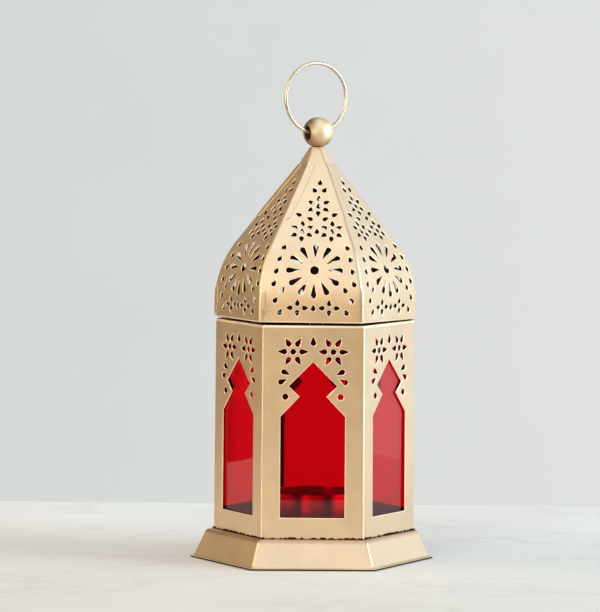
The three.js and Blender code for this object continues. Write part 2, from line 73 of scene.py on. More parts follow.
ahead = Vector((-math.sin(HEADING), math.cos(HEADING), 0))
side = Vector((math.cos(HEADING), math.sin(HEADING), 0))
up = Vector((0, 0, 1))
ahead, side = ahead * math.cos(YAW) + side * math.sin(YAW), side * math.cos(YAW) - ahead * math.sin(YAW)
look, head = ahead * math.cos(TILT) - up * math.sin(TILT), up * math.cos(TILT) + ahead * math.sin(TILT)
right, head = side * math.cos(ROLL) + head * math.sin(ROLL), head * math.cos(ROLL) - side * math.sin(ROLL)
camera = add_object("camera", bpy.data.cameras.new("camera"))
place = Matrix((right, head, -look)).transposed().to_4x4()
place.translation = (math.sin(HEADING) * DISTANCE, -math.cos(HEADING) * DISTANCE, HEIGHT)
camera.matrix_world = place
camera.data.lens = LENS
camera.data.clip_start, camera.data.clip_end = 0.1, 50
bpy.context.scene.camera = camera
print("camera at", [round(x, 3) for x in place.translation])

# %% [markdown]
# ## Small helpers for materials
# A finish is a node tree round one Principled shader. Patterns are noise on Object coordinates: every piece sits at
# the origin, so these are millimetres on the lantern and the pattern moves with the piece.
# %% Material helpers
def new_finish(name, color, metallic=0.0, roughness=0.5, **more):
    material = bpy.data.materials.new(name)
    material.use_nodes = True
    shader = material.node_tree.nodes["Principled BSDF"]
    shader.inputs["Base Color"].default_value = (*color, 1)
    shader.inputs["Metallic"].default_value = metallic
    shader.inputs["Roughness"].default_value = roughness
    for socket, value in more.items():
        shader.inputs[socket.replace("_", " ")].default_value = value
    return material, material.node_tree, shader


def noise(tree, scale, detail=2.0, stretch=(1, 1, 1), kind="Object"):
    """Noise on Object coordinates, scale in cells per metre."""
    place = tree.nodes.new("ShaderNodeTexCoord")
    fit = tree.nodes.new("ShaderNodeMapping")
    fit.inputs["Scale"].default_value = stretch
    made = tree.nodes.new("ShaderNodeTexNoise")
    made.inputs["Scale"].default_value = scale
    made.inputs["Detail"].default_value = detail
    tree.links.new(place.outputs[kind], fit.inputs["Vector"])
    tree.links.new(fit.outputs["Vector"], made.inputs["Vector"])
    return made.outputs["Fac"]


def ramp(tree, fac, stops):
    """Colours or grey values at places along a value."""
    made = tree.nodes.new("ShaderNodeValToRGB")
    keys = made.color_ramp.elements
    while len(keys) < len(stops):
        keys.new(0.5)
    for key, (where, color) in zip(keys, stops):
        key.position = where
        key.color = (*color, 1) if hasattr(color, "__len__") else (color, color, color, 1)
    tree.links.new(fac, made.inputs["Fac"])
    return made.outputs["Color"]


def feed(tree, value, socket):
    """A value is a number or a colour, or the output of another node."""
    if isinstance(value, bpy.types.NodeSocket):
        tree.links.new(value, socket)
    else:
        socket.default_value = value


def coordinate(tree, axis, kind="Object"):
    place = tree.nodes.new("ShaderNodeTexCoord")
    split = tree.nodes.new("ShaderNodeSeparateXYZ")
    tree.links.new(place.outputs[kind], split.inputs["Vector"])
    return split.outputs[axis]


def between(tree, value, start, end, low=0.0, high=1.0):
    """Runs from low to high while the value runs from start to end."""
    made = tree.nodes.new("ShaderNodeMapRange")
    for socket, number in zip(("From Min", "From Max", "To Min", "To Max"), (start, end, low, high)):
        made.inputs[socket].default_value = number
    feed(tree, value, made.inputs["Value"])
    return made.outputs["Result"]


def math_node(tree, operation, *values):
    made = tree.nodes.new("ShaderNodeMath")
    made.operation = operation
    for value, socket in zip(values, made.inputs):
        feed(tree, value, socket)
    return made.outputs[0]


def mix_colors(tree, first, second, factor, blend="MIX"):
    made = tree.nodes.new("ShaderNodeMix")
    made.data_type, made.blend_type = "RGBA", blend
    feed(tree, factor, made.inputs["Factor"])
    feed(tree, first, made.inputs[6])
    feed(tree, second, made.inputs[7])
    return made.outputs[2]


def bumps(tree, shader, *layers):
    """Bump layers, each (height, strength, distance in metres), one over the other."""
    below = None
    for height, strength, distance in layers:
        bump = tree.nodes.new("ShaderNodeBump")
        bump.inputs["Strength"].default_value = strength
        bump.inputs["Distance"].default_value = distance
        tree.links.new(height, bump.inputs["Height"])
        if below is not None:
            tree.links.new(below, bump.inputs["Normal"])
        below = bump.outputs["Normal"]
    tree.links.new(below, shader.inputs["Normal"])


# %% [markdown]
# ## Gold paint
# The sheet takes a spray of satin champagne gold. It is part metal, so it takes its brightness from what it
# reflects, and its clear binder adds a soft white sheen. The spray is a little uneven: cloudy over some 20 mm, and
# grainy at a fraction of a millimetre. The sheet under it is not quite flat, which a wide low bump shows. A stain is
# another colour that takes over along one axis. The stains here are painted light: the skirt's ledge under the seam
# is painted a darker orange for the warm glow seen there, the ball is darker on its left side as painted shade,
# and its foot is browned as a painted reflection of the gold dome below it.
# %% Gold finishes
GOLD = (0.63, 0.445, 0.24)
CLOUD, GRAIN, SWAY, STAIN_EDGE = 55, 2600, 38, 700
LIGHTER, DARKER = 1.07, 0.93


def gold_paint(name, color, roughness, metal=0.6, sheen=1.0, sway=0.5, grain=0.10, gloss=0.30):
    material, tree, shader = new_finish(
        name, color, metallic=metal, roughness=roughness, Coat_Weight=sheen, Coat_Roughness=gloss, Coat_IOR=2.2)
    cloud = noise(tree, CLOUD, 3)
    lighter = tuple(min(1, c * LIGHTER) for c in color)
    darker = tuple(c * DARKER for c in color)
    tree.links.new(ramp(tree, cloud, [(0.3, darker), (0.7, lighter)]), shader.inputs["Base Color"])
    tree.links.new(
        ramp(tree, noise(tree, CLOUD * 2.3, 2), [(0.3, roughness - 0.04), (0.7, roughness + 0.05)]),
        shader.inputs["Roughness"])
    bumps(tree, shader, (noise(tree, SWAY, 1), sway, 0.0006), (noise(tree, GRAIN, 2), grain, 0.00003))
    return material


def stain(material, low, high, color, wander, strength=1.0, axis="Z"):
    """The paint takes this colour towards low, and none of it from high on, along one axis, with a wandering edge."""
    tree = material.node_tree
    paint = tree.nodes["Principled BSDF"].inputs["Base Color"]
    edge = math_node(tree, "MULTIPLY_ADD", noise(tree, STAIN_EDGE, 2), wander, coordinate(tree, axis))
    share = between(tree, edge, low, high, strength, 0.0)
    tree.links.new(mix_colors(tree, paint.links[0].from_socket, (*color, 1), share), paint)


body_gold = gold_paint("body gold paint", GOLD, 0.40)
dome_gold = gold_paint("dome gold paint", GOLD, 0.38)
base_gold = gold_paint("base gold paint", (0.595, 0.42, 0.23), 0.40)
# Painted light: the skirt's ledge just under the seam is coloured a darker orange for the warm glow seen there.
stain(base_gold, low=0.0122, high=0.0111, color=(0.40, 0.19, 0.06), wander=0.0004, strength=0.85)
# Painted shade: a near-black for the bead in the seam and for the underside of the foot's lip.
seam_and_foot_shade = new_finish("painted shade in seam and under foot", (0.016, 0.007, 0.003), roughness=0.9, Specular_IOR_Level=0.1)[0]
# Paler paint on the cut edges and free bends: partly the thicker paint there, partly a painted highlight for the light
# they catch.
edge_gold_and_highlight = gold_paint("paler edge gold and painted highlight", (0.86, 0.70, 0.46), 0.45, metal=0.4, sway=0.0)
ball_gold = gold_paint("ball gold", (0.76, 0.62, 0.40), 0.50, metal=0.75, sheen=0.3, sway=0.1, gloss=0.5)
# Painted shade: the ball is darkened towards its left side.
stain(ball_gold, low=-0.0030, high=0.0016, color=(0.17, 0.09, 0.042), wander=0.0, strength=0.9, axis="X")
# Painted reflection: the ball is browned at its foot for the warm dome reflected there.
stain(ball_gold, low=0.1875, high=0.1908, color=(0.42, 0.20, 0.07), wander=0.0, strength=0.85)
wire_gold = gold_paint("wire gold", (0.58, 0.49, 0.36), 0.34, metal=0.75, sheen=0.15, sway=0.0, grain=0.0)
# Painted shade: a near-black for the inside of the sheets, the walls of small holes, the lips under the lid, the
# undersides of the gores and the ball's bore.
inside_shade = new_finish("painted inside shade", (0.060, 0.033, 0.020), roughness=0.7, Specular_IOR_Level=0.15)[0]
print("gold finishes:", [m.name for m in bpy.data.materials])

# %% [markdown]
# ## Red glass, the cup and the hinge
# The panes are clear glass coloured in the melt, so the colour is in how much of each colour passes through. In a
# Principled shader that is full transmission with the colour as the base colour: light is coloured once as it goes
# in and once as it comes out. The glass is drawn, not ground, so it is very smooth but a little wavy. The cup is
# bare bright metal and the hinge a duller, yellower one.
# %% Other finishes
red_glass, tree, shader = new_finish(
    "red glass", (0.87, 0.012, 0.055), roughness=0.02, Transmission_Weight=1.0, IOR=1.44)
bumps(tree, shader, (noise(tree, 30, 1), 0.15, 0.0004))
cup_metal, tree, shader = new_finish("cup metal", (0.50, 0.48, 0.46), metallic=1.0, roughness=0.30)
bumps(tree, shader, (noise(tree, 400, 1, (1, 1, 0.1)), 0.2, 0.0001))
hinge_metal, tree, shader = new_finish("hinge metal", (0.55, 0.42, 0.24), metallic=0.9, roughness=0.35)
bumps(tree, shader, (noise(tree, 900, 2), 0.2, 0.00005))

# %% [markdown]
# ## Sheet metal: cut flat, then bent
# The panels and gores are made as a metal worker makes them. A flat pattern is cut and pierced, in u across and s
# up, and then every point is carried onto the bent sheet. The fill runs over the outline and all holes at once. A
# chamfer and a wall are extruded from every open edge, the face is copied for the inside, and rows of cuts let the
# sheet bend. The cut edges have their own paler paint: the paint is thick there, and the paler colour also paints in
# the light that the edges catch. The inside and the walls of small holes are painted near black, which is painted
# shade for the dark inside of the lantern.
# %% Flat patterns
SHEET = 0.5 * MM
RIM_OUT, RIM_DOWN = 0.24 * MM, 0.12 * MM
HOLE_GROW = 0.16 * MM
MITRE_LEAST = 0.6


def flat_pattern():
    """An empty sheet. Its vertices will hold the way out of the sheet at a cut edge, and whether that edge's wall
    stays gold instead of taking the painted shade. The layers come first, because a new layer makes bmesh forget the
    vertices that a script holds."""
    bm = bmesh.new()
    bm.verts.layers.float_vector.new("out")
    bm.verts.layers.float.new("painted")
    return bm


def mitres(points):
    """Outward directions at the corners of a closed ring, long enough to keep an even offset."""
    n = len(points)
    area = sum(points[i].cross(points[(i + 1) % n]) for i in range(n))
    turn = 1 if area > 0 else -1
    found = []
    for i, p in enumerate(points):
        a = (p - points[i - 1]).normalized()
        b = (points[(i + 1) % n] - p).normalized()
        out = (Vector((a.y, -a.x)) + Vector((b.y, -b.x))).normalized() * turn
        found.append(out / max(MITRE_LEAST, out.dot(Vector((a.y, -a.x)) * turn)))
    return found


def add_ring(bm, points, grow):
    """A closed ring of edges, grown outwards all round."""
    grown = [p + m * grow for p, m in zip(points, mitres(points))]
    verts = [bm.verts.new((p.x, p.y, 0)) for p in grown]
    for i, v in enumerate(verts):
        bm.edges.new((verts[i - 1], v))
    return verts


def drop(u, s, length, width, tip, steps=14):
    """A teardrop: a circle whose upper part is drawn out to a point. tip is the way it points, in degrees."""
    shape = bmesh.new()
    ring = bmesh.ops.create_circle(shape, cap_ends=False, radius=width / 2, segments=steps)["verts"]
    middle, reach = width / 2 - length / 2, length - width / 2
    tangent = math.acos(width / 2 / reach) if reach > width / 2 else 0.0
    turn = Matrix.Rotation(math.radians(tip - 90), 2)
    points = []
    for v in ring:
        away = abs(math.atan2(v.co.x, v.co.y))
        x, y = v.co.x, v.co.y
        if tangent and away < tangent:
            share = away / tangent
            x = math.copysign(width / 2 * math.sin(tangent), v.co.x) * share
            y = reach + (width / 2 * math.cos(tangent) - reach) * share
        points.append(turn @ Vector((x, y + middle)) + Vector((u, s)))
    shape.free()
    return points


def petals(u, s, ring, count, length, width, first, inward=False):
    made = []
    for i in range(count):
        angle = first + i * 360 / count
        way = math.radians(angle)
        tip = angle + 180 if inward else angle
        made.append(drop(u + ring * math.cos(way), s + ring * math.sin(way), length, width, tip, 18))
    return made


def pair(u, s, length, width, tip=90):
    return [drop(u, s, length, width, tip), drop(-u, s, length, width, 180 - tip)]


def fill(bm, skew=0.37):
    """Fills the outline round all holes. The fill sweeps up the pattern and can fold over where many points lie at
    one height, so the pattern is turned a little for it."""
    there, back = Matrix.Rotation(skew, 3, "Z"), Matrix.Rotation(-skew, 3, "Z")
    bmesh.ops.rotate(bm, verts=bm.verts[:], cent=(0, 0, 0), matrix=there)
    bmesh.ops.triangle_fill(bm, use_beauty=True, use_dissolve=False, edges=bm.edges[:])
    bmesh.ops.rotate(bm, verts=bm.verts[:], cent=(0, 0, 0), matrix=back)
    bm.normal_update()
    if sum(f.normal.z for f in bm.faces) < 0:
        bmesh.ops.reverse_faces(bm, faces=bm.faces[:])


def add_walls(bm, plain=(), gold_walls=(), painted_as=1):
    """Turns a flat face into a sheet: a chamfer, a wall and a chamfer from each open edge, and the face behind.
    plain are the vertices whose edges stay square, where two sheets meet flush. gold_walls are those whose whole cut
    edge stays gold; in a small hole only the chamfer does, and the wall gets the near-black painted shade."""
    bm.normal_update()
    out, painted = bm.verts.layers.float_vector["out"], bm.verts.layers.float["painted"]
    for v in gold_walls:
        v[painted] = 1.0
    rim = [e for e in bm.edges if e.is_boundary]
    plain = set(plain)
    for v in {v for e in rim for v in e.verts}:
        total = Vector((0, 0, 0))
        first = None
        for e in v.link_edges:
            if not e.is_boundary:
                continue
            along = (e.verts[1].co - e.verts[0].co).normalized()
            away = Vector((along.y, -along.x, 0))
            face = e.link_faces[0]
            if away.dot(face.calc_center_median() - e.verts[0].co) > 0:
                away = -away
            first = first or away
            total += away
        total.normalize()
        v[out] = Vector((0, 0, 0)) if v in plain else total / max(MITRE_LEAST, total.dot(first))
    top = bm.faces[:]
    back = bmesh.ops.duplicate(bm, geom=top)["geom"]
    back_faces = [g for g in back if isinstance(g, bmesh.types.BMFace)]
    back_verts = [g for g in back if isinstance(g, bmesh.types.BMVert)]
    bmesh.ops.translate(bm, verts=back_verts, vec=(0, 0, -SHEET))
    bmesh.ops.reverse_faces(bm, faces=back_faces)
    # The face behind gets the near-black painted shade.
    for f in back_faces:
        f.material_index = 2
    edges = rim
    for paint, sideways, down in [(1, RIM_OUT, RIM_DOWN), (2, 0, SHEET - 2 * RIM_DOWN), (2, -RIM_OUT, RIM_DOWN)]:
        made = bmesh.ops.extrude_edge_only(bm, edges=edges)["geom"]
        edges = [g for g in made if isinstance(g, bmesh.types.BMEdge) and g.is_boundary]
        for g in made:
            if isinstance(g, bmesh.types.BMFace):
                g.material_index = painted_as if all(v[painted] > 0.5 for v in g.verts) else paint
            if isinstance(g, bmesh.types.BMVert):
                g.co += g[out] * sideways - Vector((0, 0, down))
    bmesh.ops.remove_doubles(bm, verts=bm.verts[:], dist=WELD)
    bm.verts.layers.float_vector.remove(bm.verts.layers.float_vector["out"])
    bm.verts.layers.float.remove(bm.verts.layers.float["painted"])


def cut_rows(bm, rows):
    for s in rows:
        bmesh.ops.bisect_plane(
            bm, geom=bm.verts[:] + bm.edges[:] + bm.faces[:], plane_co=(0, s, 0), plane_no=(0, 1, 0), dist=1e-6)


print("a petal of", len(drop(0, 0, 3.9, 2.2, 90)), "points, a chamfer of", round(RIM_OUT / MM, 2), "mm")

# %% [markdown]
# ## Carrying the flat pattern onto the bent sheet
# A bend is written as a walk up the sheet: each stretch has a length and the angle that it turns through. At the
# right edge every sheet is folded round the corner onto the next side, with a quadratic curve through the corner.
# %% Bending
def walk(start, flat, z, lean, stretches):
    """A list of (s, flat, z, lean, curvature) along a sheet's outer face."""
    path, s = [], start
    for length, turn in stretches:
        bend = turn / length
        path.append((s, flat, z, lean, bend))
        flat, z = step_on(flat, z, lean, bend, length)
        s, lean = s + length, lean + turn
    path.append((s, flat, z, lean, 0.0))
    return path


def step_on(flat, z, lean, bend, length):
    if abs(bend) < 1e-9:
        return flat - math.sin(lean) * length, z + math.cos(lean) * length
    after = lean + bend * length
    return flat + (math.cos(after) - math.cos(lean)) / bend, z + (math.sin(after) - math.sin(lean)) / bend


def station(path, s):
    found = path[0]
    for entry in path:
        if entry[0] <= s + 1e-9:
            found = entry
    at, flat, z, lean, bend = found
    flat, z = step_on(flat, z, lean, bend, s - at)
    return flat, z, lean + bend * (s - at)


def on_side(flat, z, lean, x, depth):
    return Vector((x, -(flat + depth * math.cos(lean)), z + depth * math.sin(lean)))


def bend_sheet(bm, path, setback, lift=lambda s: 0.0):
    """Moves each (u, s, depth) of the flat pattern onto the bent sheet. lift is how far the lap stands proud."""
    spin = Matrix.Rotation(TURN, 3, "Z")
    for v in bm.verts:
        u, s, depth = v.co
        flat, z, lean = station(path, s)
        half = flat * HALF_TAN
        if u <= half - setback:
            v.co = on_side(flat, z, lean, u, depth)
            continue
        c = math.cos(lean)
        proud = lift(s)
        far = spin @ on_side(flat, z, lean, -half + max(setback, u - half), depth + proud)
        if u >= half + setback:
            v.co = far
            continue
        corner = half + depth * c / (2 * math.sin(TURN)) + (proud / (c * math.sin(TURN)) if proud else 0.0)
        near = on_side(flat, z, lean, half - setback, depth)
        middle = on_side(flat, z, lean, corner, depth)
        share = (u - half + setback) / (2 * setback)
        v.co = near.lerp(middle, share).lerp(middle.lerp(far, share), share)


def fold_edge(bm, chain, setback, steps=6):
    """Extrudes the flat pattern across the corner, from the chain of vertices along its right side."""
    edges = [e for e in bm.edges if e.is_boundary and all(v in chain for v in e.verts)]
    for _ in range(steps):
        made = bmesh.ops.extrude_edge_only(bm, edges=edges)["geom"]
        moved = [g for g in made if isinstance(g, bmesh.types.BMVert)]
        bmesh.ops.translate(bm, verts=moved, vec=(2 * setback / steps, 0, 0))
        edges = [g for g in made if isinstance(g, bmesh.types.BMEdge) and all(v in moved for v in g.verts)]
    return edges, moved


def store(bm, name, materials):
    mesh = bpy.data.meshes.new(name)
    bm.to_mesh(mesh)
    bm.free()
    for material in materials:
        mesh.materials.append(material)
    return mesh


def sheet_mesh(bm, name, materials, in_painted_shade, painted_highlight):
    """A finished mesh, smooth over the bends and sharp at the cut edges. in_painted_shade picks faces painted near
    black as shade, and painted_highlight picks the bend at the sheet's free edge, painted pale as a highlight."""
    bmesh.ops.recalc_face_normals(bm, faces=bm.faces[:])
    bm.normal_update()
    for f in bm.faces:
        f.smooth = True
    for f in bm.faces:
        if f.material_index == 0 and (in_painted_shade(f) or painted_highlight(f)):
            f.material_index = 2 if in_painted_shade(f) else 1
    for e in bm.edges:
        kinds = {f.material_index for f in e.link_faces}
        e.smooth = len(kinds) == 1 and e.calc_face_angle(0) < math.radians(30)
    return store(bm, name, materials)


LID_HINGE = Vector((0, 41.65 * MM, 108.95 * MM))
LID_DROP, LID_LEAN, LID_OPEN, LID_TURN = 0.2 * MM, math.radians(0.18), math.radians(-0.55), math.radians(-2.2)
ASKEW = (
    Matrix.Translation(LID_HINGE - Vector((0, 0, LID_DROP))) @ Matrix.Rotation(LID_LEAN, 4, "Y")
    @ Matrix.Rotation(LID_OPEN, 4, "X") @ Matrix.Translation(-LID_HINGE) @ Matrix.Rotation(LID_TURN, 4, "Z"))
UPRIGHT = Matrix.Identity(4)


def add_piece(name, mesh, body, slot, *nodes, turn=0.0, settle=UPRIGHT):
    """A piece at the origin, with its place in its mesh, which stands for CAD nodes and rides on their body."""
    mesh = mesh.copy()
    mesh.transform(settle @ Matrix.Rotation(turn, 4, "Z"))
    piece = add_object(name, mesh)
    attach(piece, body)
    if nodes:
        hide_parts(*nodes)
    flats = piece.modifiers.new("flat faces stay flat", "WEIGHTED_NORMAL")
    flats.mode, flats.weight, flats.keep_sharp = "FACE_AREA", 50, True
    return piece


# %% [markdown]
# ## The body panels
# Each of the six panels has an arched window on 45 degree lines, two petal flowers and some drops above it. Along
# its top the sheet turns in as a lip, and a tab goes down from the lip behind the glass. One panel is made and
# turned round the axis, because the six are cut with one die. The corner at the front panel's left edge is folded
# tighter, so the two panels that share it are made again. The bend along the top and a thin strip under it are
# painted pale as a painted highlight, and the lip and tab behind it are painted near black as painted shade.
# %% Body panels
BODY_FLAT, BODY_LOW, BODY_TOP = 38.971 * MM, 13.3 * MM, 108.8 * MM
TOP_BEND, HIGHLIGHT_STRIP, CORNER, SEAM = 0.8 * MM, 0.45 * MM, 1.0 * MM, 0.3 * MM
LIP_DEPTH, TAB_HALF, TAB_DROP = 3.6 * MM, 3 * MM, 7.0 * MM
height = BODY_TOP - BODY_LOW
FOOT_SPREAD, HEAD_SPREAD = 0.55 * MM, 0.12 * MM
body_path = walk(0, BODY_FLAT + FOOT_SPREAD, BODY_LOW, math.asin((FOOT_SPREAD - HEAD_SPREAD) / height), [
    (height - TOP_BEND, 0.0),
    (TOP_BEND * QUARTER, QUARTER),
    (LIP_DEPTH - 2 * TOP_BEND, 0.0),
    (TOP_BEND * QUARTER, QUARTER),
    (TAB_DROP, 0.0),
])
bend_ends = body_path[2][0]
lip_ends = body_path[3][0]
tab_ends = body_path[5][0]

WINDOW = [(14.3, 9.4), (14.3, 54.5), (5.8, 63.55), (10.6, 68.2), (0, 78.9)]


def panel_holes():
    rise = height / MM
    right = [Vector((x, s)) for x, s in WINDOW]
    left = [Vector((-x, s)) for x, s in WINDOW[-2::-1]]
    rings = [right + left, drop(0, rise - 7.2, 3.9, 2.2, 90, 18)]
    for u in (-8.95, 8.95):
        rings.append(drop(u, rise - 11.9, 2.4, 2.3, 90, 16))
        rings += petals(u, rise - 11.9, 4.8, 6, 3.9, 2.2, 0)
    rings += pair(12.2, rise - 21.3, 3.9, 2.1, -153) + pair(13.6, rise - 25.1, 3.9, 2.1, 153)
    rings += pair(12.3, rise - 32, 2.6, 2.5)
    return [[p * MM for p in ring] for ring in rings]


def body_panel(left_fold, right_fold):
    bm = flat_pattern()
    bend_starts = bend_ends - TOP_BEND * QUARTER
    up_rows = [0, bend_starts - HIGHLIGHT_STRIP, bend_starts]
    bend_rows = [bend_starts + TOP_BEND * QUARTER * i / 4 for i in (1, 2, 3, 4)]
    inner = BODY_FLAT - LIP_DEPTH
    width = lambda s: station(body_path, s)[0] * HALF_TAN
    folded = up_rows + bend_rows
    right = [(width(s) - right_fold, s) for s in folded]
    lip = [
        (width(bend_ends) - 0.4 * MM, bend_ends + 0.01 * MM), (inner * HALF_TAN, lip_ends), (TAB_HALF, lip_ends)]
    tab = [(TAB_HALF, tab_ends - 0.6 * MM), (TAB_HALF - 0.6 * MM, tab_ends)]
    line = right + lip + tab
    left = [(-width(s) + left_fold, s) for s in reversed(folded)]
    back = [(-u, s) for u, s in reversed(lip + tab)] + left
    verts = add_ring(bm, [Vector(p) for p in line + back], 0)
    chain, start = set(verts[: len(right)]), set(verts[-len(right):])
    holes = [add_ring(bm, ring, RIM_OUT + HOLE_GROW) for ring in panel_holes()]
    fill(bm)
    _, flush = fold_edge(bm, chain, right_fold)
    add_walls(bm, plain=start | set(flush), gold_walls=holes[0])
    rows = [height * i / 6 for i in range(1, 6)] + up_rows[1:] + bend_rows
    rows += [lip_ends + TOP_BEND * QUARTER * i / 3 for i in range(4)]
    cut_rows(bm, rows)
    bend_sheet(bm, body_path, right_fold)
    # Painted shade on the top lip and the tab behind the glass; a painted highlight on the top bend and a strip under
    # it.
    shaded_faces = lambda f: (
        f.calc_center_median().z > BODY_TOP - 0.3 * MM or f.calc_center_median().y > -BODY_FLAT + 1.2 * MM)
    painted_highlight = lambda f: f.calc_center_median().z > BODY_TOP - TOP_BEND - HIGHLIGHT_STRIP
    return sheet_mesh(bm, "body panel", [body_gold, edge_gold_and_highlight, inside_shade], shaded_faces, painted_highlight)


panel = body_panel(CORNER, CORNER)
special = {"front": body_panel(SEAM, CORNER), "front_left": body_panel(CORNER, SEAM)}
for i, name in enumerate(SIDES):
    add_piece(
        "panel_" + name, special.get(name, panel), "lantern_body", "gold_body_sheet", "side_panel_" + name,
        turn=i * TURN)
print("body panel:", len(panel.polygons), "faces")

# %% [markdown]
# ## The dome's gores
# Each gore stands upright at the rim, leans in through an arc and runs straight to the finial. It is pierced by a
# twelve-petal rosette and rows of drops. Its right edge folds over the ridge: at the top and at the rim it ends in a
# soldered tab that lies on the next gore, and between the tabs it meets that gore flush. The front left ridge is
# folded tighter. The lid was fitted by hand, so it sits a little askew. TABS gives, in mm, places up the sheet and how
# far the tab reaches past the ridge there.
# %% Dome gores
DOME_FLAT, DOME_RIM = 39.751 * MM, 109.1 * MM
RIM_UP, ARC_RADIUS, LEAN, TOP_OPENING = 7.7 * MM, 47.9 * MM, math.radians(34.6), 3.48 * MM
HEM, HEM_BEND, RIDGE, TIGHT_RIDGE = 3 * MM, 0.7 * MM, 1.2 * MM, 0.7 * MM
arc = ARC_RADIUS * LEAN
straight = (DOME_FLAT - ARC_RADIUS * (1 - math.cos(LEAN)) - TOP_OPENING) / math.sin(LEAN)
hem_start = HEM_BEND - HEM_BEND * QUARTER - (HEM - HEM_BEND)
dome_path = walk(hem_start, DOME_FLAT - HEM, DOME_RIM, -QUARTER, [
    (HEM - HEM_BEND, 0.0),
    (HEM_BEND * QUARTER, QUARTER),
    (RIM_UP - HEM_BEND, 0.0),
    (arc, LEAN),
    (straight, 0.0),
])
hem_bends, hem_upright = dome_path[1][0], dome_path[2][0]
gore_ends = dome_path[5][0]
print("gore, mm: arc", round(arc / MM, 2), "straight", round(straight / MM, 2), "in all", round(gore_ends / MM, 2))

TABS = [
    [(1.3, 1.9), (5.3, 2.5), (5.5, 5.6), (5.9, 5.7), (6.2, 3.6), (8.6, 3.0), (13.6, 2.6), (13.9, 2.2)],
    [(49.8, 2.2), (50.0, 2.8), (56.8, 3.4), (66.2, 3.9), (76.0, 3.8), (78.4, 3.6)],
]
PATTERN_SHIFT, PATTERN_SKEW = 1.2 * MM, 0.0165
LAP_LIFT = 0.36


def tab_width(s):
    """How far the lap reaches past the ridge, or None between the tabs."""
    for tab in TABS:
        if tab[0][0] <= s <= tab[-1][0]:
            for (a, wa), (b, wb) in zip(tab, tab[1:]):
                if a <= s <= b:
                    return wa + (wb - wa) * (s - a) / (b - a)
    return None


def tab_lift(s):
    """How far the lap stands proud of the next gore: full at the tabs, and easing to flush within 2 mm of them."""
    near = min(max(0.0, tab[0][0] - s / MM, s / MM - tab[-1][0]) for tab in TABS)
    ease = max(0.0, 1 - near / 2)
    low = min(1.0, max(0.0, (s - hem_upright) / (0.6 * MM)))
    return LAP_LIFT * MM * ease * ease * (3 - 2 * ease) * low


def gore_holes():
    """From the top down: drops, flowers, the rosette, drops beside it, and the row along the rim. All in mm."""
    small = lambda u, s, tip=90: drop(u, s, 2.6, 1.8, tip)
    both = lambda u, s, tip=90: pair(u, s, 2.6, 1.8, tip)
    edge = lambda inset, s: station(dome_path, s * MM)[0] * HALF_TAN / MM - inset
    rings = [small(0, 69.3)] + both(2.3, 65.3, 60)
    rings += [small(0, 56.8)] + petals(0, 56.8, 4.05, 6, 2.6, 1.8, 30)
    rings += both(8.7, 52.2, 30) + both(3.5, 50, 30)
    for u in (-6.65, 6.65):
        rings += [small(u, 43.4)] + petals(u, 43.4, 4.1, 6, 2.6, 1.8, 30)
    rings += [small(0, 43.4), drop(0, 23.75, 3.75, 3.7, 90, 20)]
    rings += petals(0, 23.75, 9.4, 12, 6.4, 2.2, 0, inward=True)
    for i in range(4):
        rings += both(edge(4.6, 17.6 + 5.75 * i), 17.6 + 5.75 * i, 120)
    for inset, s in [(8.7, 14.85), (6, 10.2), (8.2, 4.9)]:
        rings += both(edge(inset, s), s, 120)
    for u in (-7.1, 7.1):
        rings += [small(u, 9.05, 90), small(u, 4.45, -90), small(u - 3.5, 6.75, 180), small(u + 3.5, 6.75, 0)]
    rings.append(small(0, 6.75))
    return [[p * MM for p in ring] for ring in rings]


def on_gore(hole):
    """The pattern sits a little off the middle of the gore. A hole that would run into the fold is moved back."""
    moved = [p + Vector((PATTERN_SHIFT + PATTERN_SKEW * p.y, 0)) for p in hole]
    cut = [p + m * (RIM_OUT + HOLE_GROW) for p, m in zip(moved, mitres(moved))]
    over = max(p.x - station(dome_path, p.y)[0] * HALF_TAN for p in cut) + RIDGE + 0.1 * MM
    return [p - Vector((max(0.0, over), 0)) for p in moved]


